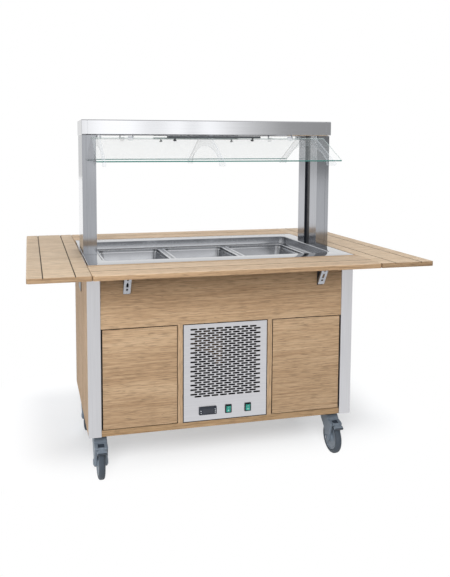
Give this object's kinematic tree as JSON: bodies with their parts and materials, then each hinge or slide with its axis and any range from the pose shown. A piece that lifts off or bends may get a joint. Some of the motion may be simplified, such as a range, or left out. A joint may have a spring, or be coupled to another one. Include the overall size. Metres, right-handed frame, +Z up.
{
  "type": "mobile salad bar",
  "caption": "Wooden mobile salad bar: chilled well with food pans, glass guards on a stainless gantry, folding shelves all round, on braked castors.",
  "frame": {"origin": "on the floor, below the middle of the cabinet", "axes": "+X along the cabinet to the right as seen from the front, +Y from the front to the back, +Z up"},
  "size_m": [1.684, 1.214, 1.554],
  "materials": {
    "oak": "satin",
    "stainless": "satin",
    "dark_steel": "satin",
    "zinc_steel": "satin",
    "clear_glass": "polished",
    "clear_acrylic": "polished",
    "black_plastic": "satin",
    "black_steel": "satin",
    "rocker_green": "gloss",
    "castor_grey": "satin",
    "wheel_tread": "matte"
  },
  "bodies": {
    "cabinet": {"floor_panel": "oak", "left_side_panel": "oak", "right_side_panel": "oak", "front_fascia": "oak", "rear_panel": "oak", "left_divider": "oak", "right_divider": "oak", "front_left_post": "stainless", "front_right_post": "stainless", "rear_left_post": "stainless", "rear_right_post": "stainless", "grille_panel": "stainless", "top_plate": "stainless", "well_tub": "stainless", "pan_bar_left": "stainless", "pan_bar_right": "stainless", "left_pillar": "stainless", "right_pillar": "stainless", "canopy": "stainless", "base_frame": "dark_steel", "condenser": "dark_steel", "glass_support_left": "clear_acrylic", "glass_support_centre": "clear_acrylic", "glass_support_right": "clear_acrylic", "thermostat": "black_plastic", "compressor": "black_steel"},
    "left_door": {"left_door": "oak"},
    "right_door": {"right_door": "oak"},
    "cooling_switch": {"cooling_switch": "rocker_green"},
    "light_switch": {"light_switch": "rocker_green"},
    "fan": {"fan": "black_plastic"},
    "pan_left": {"pan_left": "stainless"},
    "pan_centre": {"pan_centre": "stainless"},
    "pan_right": {"pan_right": "stainless"},
    "front_shelf": {"front_shelf": "oak"},
    "rear_shelf": {"rear_shelf": "oak"},
    "left_leaf": {"left_leaf": "oak"},
    "right_leaf": {"right_leaf": "oak"},
    "front_left_stay": {"front_left_stay": "zinc_steel"},
    "front_right_stay": {"front_right_stay": "zinc_steel"},
    "rear_left_stay": {"rear_left_stay": "zinc_steel"},
    "rear_right_stay": {"rear_right_stay": "zinc_steel"},
    "left_leaf_stay": {"left_leaf_stay": "zinc_steel"},
    "right_leaf_stay": {"right_leaf_stay": "zinc_steel"},
    "front_guard": {"front_glass": "clear_glass", "front_glass_handle": "dark_steel"},
    "rear_guard": {"rear_glass": "clear_glass", "rear_glass_handle": "dark_steel"},
    "front_left_castor": {"front_left_castor_fork": "castor_grey"},
    "front_left_wheel": {"front_left_castor_wheel": "wheel_tread"},
    "front_left_pedal": {"front_left_castor_pedal": "castor_grey"},
    "front_right_castor": {"front_right_castor_fork": "castor_grey"},
    "front_right_wheel": {"front_right_castor_wheel": "wheel_tread"},
    "front_right_pedal": {"front_right_castor_pedal": "castor_grey"},
    "rear_left_castor": {"rear_left_castor_fork": "castor_grey"},
    "rear_left_wheel": {"rear_left_castor_wheel": "wheel_tread"},
    "rear_left_pedal": {"rear_left_castor_pedal": "castor_grey"},
    "rear_right_castor": {"rear_right_castor_fork": "castor_grey"},
    "rear_right_wheel": {"rear_right_castor_wheel": "wheel_tread"},
    "rear_right_pedal": {"rear_right_castor_pedal": "castor_grey"}
  },
  "joints": [
    {"name": "left_door_hinge", "type": "hinge", "parent": "cabinet", "child": "left_door", "pos_m": [-0.537, -0.35, 0.455], "axis": [0, 0, -1], "range_deg": [0, 100]},
    {"name": "right_door_hinge", "type": "hinge", "parent": "cabinet", "child": "right_door", "pos_m": [0.537, -0.35, 0.455], "axis": [0, 0, 1], "range_deg": [0, 100]},
    {"name": "cooling_rocker", "type": "hinge", "parent": "cabinet", "child": "cooling_switch", "pos_m": [0.013, -0.357, 0.283], "axis": [1, 0, 0], "range_deg": [-12, 0]},
    {"name": "light_rocker", "type": "hinge", "parent": "cabinet", "child": "light_switch", "pos_m": [0.103, -0.357, 0.283], "axis": [1, 0, 0], "range_deg": [-12, 0]},
    {"name": "fan_spin", "type": "hinge", "parent": "cabinet", "child": "fan", "pos_m": [0, -0.247, 0.3363], "axis": [0, 1, 0], "continuous": true},
    {"name": "pan_left_lift", "type": "slide", "parent": "cabinet", "child": "pan_left", "axis": [0, 0, 1], "range_m": [0, 0.25]},
    {"name": "pan_centre_lift", "type": "slide", "parent": "cabinet", "child": "pan_centre", "axis": [0, 0, 1], "range_m": [0, 0.25]},
    {"name": "pan_right_lift", "type": "slide", "parent": "cabinet", "child": "pan_right", "axis": [0, 0, 1], "range_m": [0, 0.25]},
    {"name": "front_shelf_fold", "type": "hinge", "parent": "cabinet", "child": "front_shelf", "pos_m": [0, -0.404, 0.926], "axis": [1, 0, 0], "range_deg": [0, 90]},
    {"name": "front_left_stay_pivot", "type": "hinge", "parent": "front_shelf", "child": "front_left_stay", "pos_m": [-0.437, -0.42, 0.916], "axis": [1, 0, 0], "range_deg": [-107, 0]},
    {"name": "front_right_stay_pivot", "type": "hinge", "parent": "front_shelf", "child": "front_right_stay", "pos_m": [0.437, -0.42, 0.916], "axis": [1, 0, 0], "range_deg": [-107, 0]},
    {"name": "rear_shelf_fold", "type": "hinge", "parent": "cabinet", "child": "rear_shelf", "pos_m": [0, 0.404, 0.926], "axis": [-1, 0, 0], "range_deg": [0, 90]},
    {"name": "rear_left_stay_pivot", "type": "hinge", "parent": "rear_shelf", "child": "rear_left_stay", "pos_m": [-0.437, 0.42, 0.916], "axis": [-1, 0, 0], "range_deg": [-107, 0]},
    {"name": "rear_right_stay_pivot", "type": "hinge", "parent": "rear_shelf", "child": "rear_right_stay", "pos_m": [0.437, 0.42, 0.916], "axis": [-1, 0, 0], "range_deg": [-107, 0]},
    {"name": "left_leaf_fold", "type": "hinge", "parent": "cabinet", "child": "left_leaf", "pos_m": [-0.612, 0, 0.905], "axis": [0, -1, 0], "range_deg": [0, 90]},
    {"name": "left_leaf_stay_pivot", "type": "hinge", "parent": "left_leaf", "child": "left_leaf_stay", "pos_m": [-0.662, 0, 0.917], "axis": [0, -1, 0], "range_deg": [-121, 0]},
    {"name": "right_leaf_fold", "type": "hinge", "parent": "cabinet", "child": "right_leaf", "pos_m": [0.612, 0, 0.905], "axis": [0, 1, 0], "range_deg": [0, 90]},
    {"name": "right_leaf_stay_pivot", "type": "hinge", "parent": "right_leaf", "child": "right_leaf_stay", "pos_m": [0.662, 0, 0.917], "axis": [0, 1, 0], "range_deg": [-121, 0]},
    {"name": "front_guard_hinge", "type": "hinge", "parent": "cabinet", "child": "front_guard", "pos_m": [0, -0.126, 1.4765], "axis": [-1, 0, 0], "range_deg": [0, 70]},
    {"name": "rear_guard_hinge", "type": "hinge", "parent": "cabinet", "child": "rear_guard", "pos_m": [0, 0.126, 1.4765], "axis": [1, 0, 0], "range_deg": [0, 70]},
    {"name": "front_left_castor_swivel", "type": "hinge", "parent": "cabinet", "child": "front_left_castor", "pos_m": [-0.545, -0.255, 0.15], "axis": [0, 0, 1], "continuous": true},
    {"name": "front_left_wheel_spin", "type": "hinge", "parent": "front_left_castor", "child": "front_left_wheel", "pos_m": [-0.545, -0.297, 0.075], "axis": [1, 0, 0], "continuous": true},
    {"name": "front_left_pedal_press", "type": "hinge", "parent": "front_left_castor", "child": "front_left_pedal", "pos_m": [-0.545, -0.33869, 0.15022], "axis": [1, 0, 0], "range_deg": [0, 18]},
    {"name": "front_right_castor_swivel", "type": "hinge", "parent": "cabinet", "child": "front_right_castor", "pos_m": [0.545, -0.255, 0.15], "axis": [0, 0, 1], "continuous": true},
    {"name": "front_right_wheel_spin", "type": "hinge", "parent": "front_right_castor", "child": "front_right_wheel", "pos_m": [0.545, -0.297, 0.075], "axis": [1, 0, 0], "continuous": true},
    {"name": "front_right_pedal_press", "type": "hinge", "parent": "front_right_castor", "child": "front_right_pedal", "pos_m": [0.545, -0.33869, 0.15022], "axis": [1, 0, 0], "range_deg": [0, 18]},
    {"name": "rear_left_castor_swivel", "type": "hinge", "parent": "cabinet", "child": "rear_left_castor", "pos_m": [-0.545, 0.255, 0.15], "axis": [0, 0, 1], "continuous": true},
    {"name": "rear_left_wheel_spin", "type": "hinge", "parent": "rear_left_castor", "child": "rear_left_wheel", "pos_m": [-0.55373, 0.21392, 0.075], "axis": [0.9781, -0.2079, 0], "continuous": true},
    {"name": "rear_left_pedal_press", "type": "hinge", "parent": "rear_left_castor", "child": "rear_left_pedal", "pos_m": [-0.5624, 0.17314, 0.15022], "axis": [0.9781, -0.2079, 0], "range_deg": [0, 18]},
    {"name": "rear_right_castor_swivel", "type": "hinge", "parent": "cabinet", "child": "rear_right_castor", "pos_m": [0.545, 0.255, 0.15], "axis": [0, 0, 1], "continuous": true},
    {"name": "rear_right_wheel_spin", "type": "hinge", "parent": "rear_right_castor", "child": "rear_right_wheel", "pos_m": [0.53627, 0.21392, 0.075], "axis": [0.9781, -0.2079, 0], "continuous": true},
    {"name": "rear_right_pedal_press", "type": "hinge", "parent": "rear_right_castor", "child": "rear_right_pedal", "pos_m": [0.5276, 0.17314, 0.15022], "axis": [0.9781, -0.2079, 0], "range_deg": [0, 18]}
  ],
  "couplings": [
    {"joint": "front_left_stay_pivot", "follows": "front_shelf_fold", "ratio": -1.181},
    {"joint": "front_right_stay_pivot", "follows": "front_shelf_fold", "ratio": -1.181},
    {"joint": "rear_left_stay_pivot", "follows": "rear_shelf_fold", "ratio": -1.181},
    {"joint": "rear_right_stay_pivot", "follows": "rear_shelf_fold", "ratio": -1.181},
    {"joint": "left_leaf_stay_pivot", "follows": "left_leaf_fold", "ratio": -1.339},
    {"joint": "right_leaf_stay_pivot", "follows": "right_leaf_fold", "ratio": -1.339}
  ]
}
